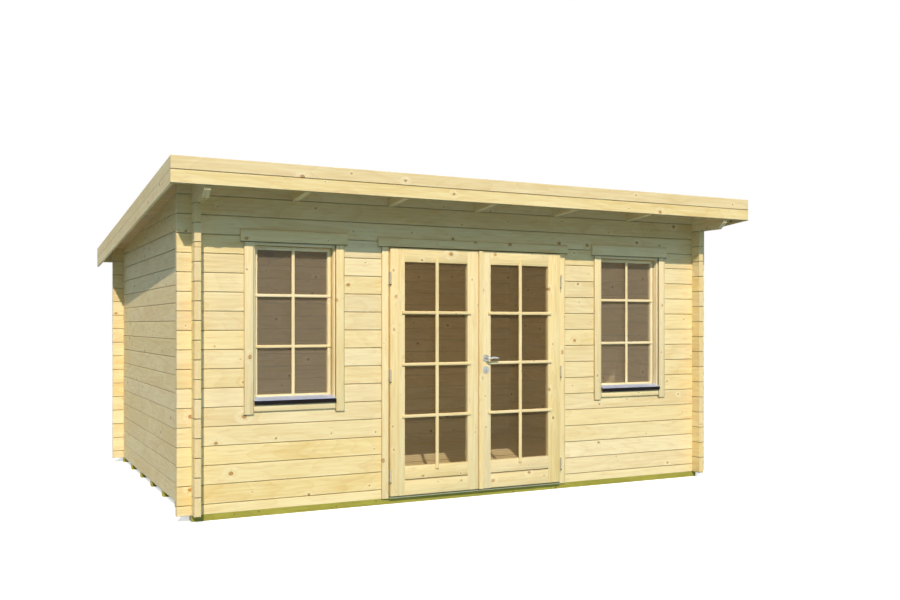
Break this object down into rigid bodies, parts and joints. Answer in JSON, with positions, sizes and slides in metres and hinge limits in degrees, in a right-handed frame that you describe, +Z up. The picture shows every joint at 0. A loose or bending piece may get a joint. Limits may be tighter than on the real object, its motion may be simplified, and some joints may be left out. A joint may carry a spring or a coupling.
{
  "type": "log garden house",
  "caption": "Single-pitch log garden house with interlocking corner joints, glazed double doors that open outwards, barred windows and an overhanging front roof.",
  "frame": {"origin": "on level ground under the middle of the walls' footprint, on the underside of the middle foundation joist", "axes": "+X along the front to the right as seen from the front, +Y from the front to the back, +Z up"},
  "size_m": [4.94, 3.919, 2.4636],
  "materials": {
    "log_wood": "planed natural spruce",
    "edge_wood": "planed natural spruce",
    "rafter_wood": "planed natural spruce",
    "roof_board_wood": "planed natural spruce boards",
    "floor_wood": "planed natural spruce boards",
    "joinery_wood": "smooth natural spruce",
    "door_wood": "smooth natural spruce",
    "trim_wood": "planed natural spruce",
    "treated_wood": "green pressure-treated timber",
    "roofing_felt": "mineral-faced bitumen felt",
    "glass": "clear float glass",
    "sill_metal": "dark lipped sheet, satin top",
    "threshold_metal": "satin",
    "steel": "satin silver"
  },
  "bodies": {
    "house": {"foundation_joists": "treated_wood", "floor": "floor_wood", "front_wall_low_left": "log_wood", "front_wall_low_right": "log_wood", "front_wall_corner_left": "log_wood", "front_wall_corner_right": "log_wood", "front_wall_pier_left": "log_wood", "front_wall_pier_right": "log_wood", "front_wall_top": "log_wood", "back_wall": "log_wood", "left_wall": "log_wood", "right_wall": "log_wood", "rafters": "rafter_wood", "roof_boards": "roof_board_wood", "roofing_felt": "roofing_felt", "front_fascia": "edge_wood", "left_bargeboard": "edge_wood", "right_bargeboard": "edge_wood", "eaves_board": "edge_wood", "window_frame_left": "joinery_wood", "window_frame_right": "joinery_wood", "window_sash_left": "joinery_wood", "window_sash_right": "joinery_wood", "window_glass_left": "glass", "window_glass_right": "glass", "window_sill_left": "sill_metal", "window_sill_right": "sill_metal", "window_trim_left": "trim_wood", "window_trim_right": "trim_wood", "door_frame": "joinery_wood", "door_trim": "trim_wood", "door_threshold": "threshold_metal", "hinge_pins_left": "steel", "hinge_pins_right": "steel"},
    "door_left": {"door_leaf_left": "door_wood", "door_glass_left": "glass", "hinge_knuckles_left": "steel"},
    "door_right": {"door_leaf_right": "door_wood", "door_glass_right": "glass", "door_cover_strip": "door_wood", "hinge_knuckles_right": "steel", "lock_plates": "steel", "lock_cylinder": "steel"},
    "lever": {"door_lever": "steel"}
  },
  "joints": [
    {"name": "door_left_swing", "type": "hinge", "parent": "house", "child": "door_left", "pos_m": [-0.76875, -1.697, 1], "axis": [0, 0, -1], "range_deg": [0, 110]},
    {"name": "door_right_swing", "type": "hinge", "parent": "house", "child": "door_right", "pos_m": [0.76875, -1.697, 1], "axis": [0, 0, 1], "range_deg": [0, 110]},
    {"name": "lever_turn", "type": "hinge", "parent": "door_right", "child": "lever", "pos_m": [0.058, -1.689, 1.104], "axis": [0, 1, 0], "range_deg": [0, 40], "stiffness_Nm_per_rad": 0.8}
  ]
}
